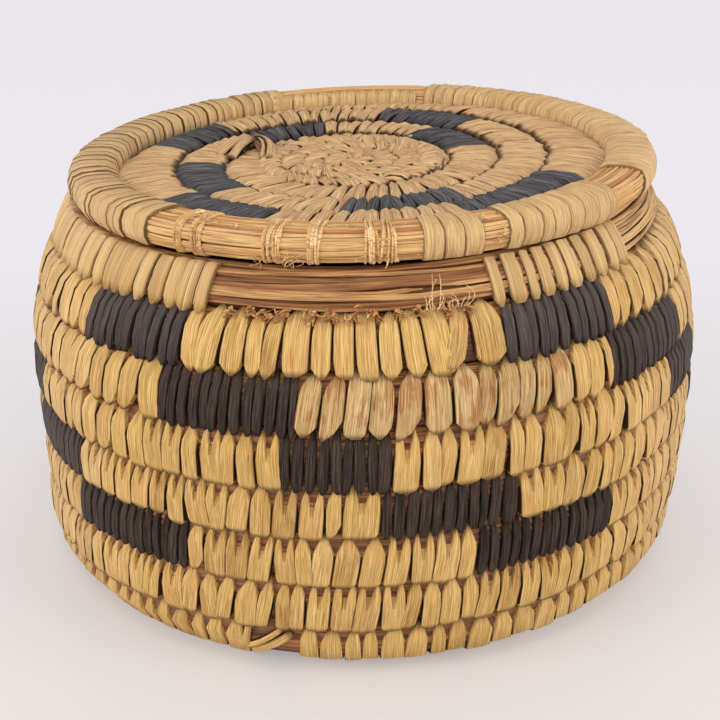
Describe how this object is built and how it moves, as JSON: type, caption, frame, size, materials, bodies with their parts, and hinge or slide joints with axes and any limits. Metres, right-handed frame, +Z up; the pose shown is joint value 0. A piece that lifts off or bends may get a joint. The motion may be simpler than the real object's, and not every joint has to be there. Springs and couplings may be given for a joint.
{
  "type": "lidded basket",
  "caption": "Round coiled grass basket with bulging wall, stepped dark blocks and a flat lift-off coiled lid with a raised rim.",
  "frame": {"origin": "centre of the base on the surface the basket stands on", "axes": "+Z up through the lid; -Y is the front that the picture shows; +X to its right"},
  "size_m": [0.2134, 0.2133, 0.1266],
  "materials": {
    "straw_sewing": "dry leaf strip, satin along the fibre",
    "grass_bundle": "dry grass stems, satin",
    "charcoal_sewing": "dyed leaf strip, matt with pale scuffs"
  },
  "bodies": {
    "basket_body": {"base_coil": "straw_sewing", "base_knot": "grass_bundle", "dark_stitches_row_1_1": "charcoal_sewing", "dark_stitches_row_1_2": "charcoal_sewing", "dark_stitches_row_1_3": "charcoal_sewing", "dark_stitches_row_1_4": "charcoal_sewing", "dark_stitches_row_1_5": "charcoal_sewing", "dark_stitches_row_1_6": "charcoal_sewing", "dark_stitches_row_2_1": "charcoal_sewing", "dark_stitches_row_2_2": "charcoal_sewing", "dark_stitches_row_2_3": "charcoal_sewing", "dark_stitches_row_2_4": "charcoal_sewing", "dark_stitches_row_2_5": "charcoal_sewing", "dark_stitches_row_3_1": "charcoal_sewing", "dark_stitches_row_3_2": "charcoal_sewing", "dark_stitches_row_3_3": "charcoal_sewing", "dark_stitches_row_3_4": "charcoal_sewing", "dark_stitches_row_3_5": "charcoal_sewing", "dark_stitches_row_4_1": "charcoal_sewing", "dark_stitches_row_4_2": "charcoal_sewing", "dark_stitches_row_4_3": "charcoal_sewing", "dark_stitches_row_4_4": "charcoal_sewing", "dark_stitches_row_4_5": "charcoal_sewing", "dark_stitches_row_5_1": "charcoal_sewing", "dark_stitches_row_5_2": "charcoal_sewing", "dark_stitches_row_5_3": "charcoal_sewing", "dark_stitches_row_5_4": "charcoal_sewing", "dark_stitches_row_5_5": "charcoal_sewing", "rim_wrapping_back": "straw_sewing", "rim_wrapping_left": "straw_sewing", "rim_wrapping_right": "straw_sewing", "wall_coil": "straw_sewing"},
    "lid": {"lid_dark_ring_1_back_left": "charcoal_sewing", "lid_dark_ring_1_front_left": "charcoal_sewing", "lid_dark_ring_1_front_right": "charcoal_sewing", "lid_dark_ring_2_back_left": "charcoal_sewing", "lid_dark_ring_2_back_right": "charcoal_sewing", "lid_dark_ring_2_front": "charcoal_sewing", "lid_dark_ring_2_left": "charcoal_sewing", "lid_dark_ring_3_right": "charcoal_sewing", "lid_disc_coil": "straw_sewing", "lid_knot": "straw_sewing", "lid_rim_bundle": "grass_bundle", "lid_rim_thin_wrap_1": "straw_sewing", "lid_rim_thin_wrap_2": "straw_sewing", "lid_rim_thin_wrap_3": "straw_sewing", "lid_rim_thin_wrap_4": "straw_sewing", "lid_rim_thin_wrap_5": "straw_sewing", "lid_rim_thin_wrap_6": "straw_sewing", "lid_rim_wide_wrap_1": "straw_sewing", "lid_rim_wide_wrap_2": "straw_sewing", "lid_rim_wide_wrap_3": "straw_sewing", "lid_rim_wrapping_back": "straw_sewing", "lid_rim_wrapping_left": "straw_sewing", "lid_rim_wrapping_right": "straw_sewing"}
  },
  "joints": [
    {"name": "lid_lift", "type": "slide", "parent": "basket_body", "child": "lid", "axis": [0, 0, 1], "range_m": [0, 0.15]}
  ]
}
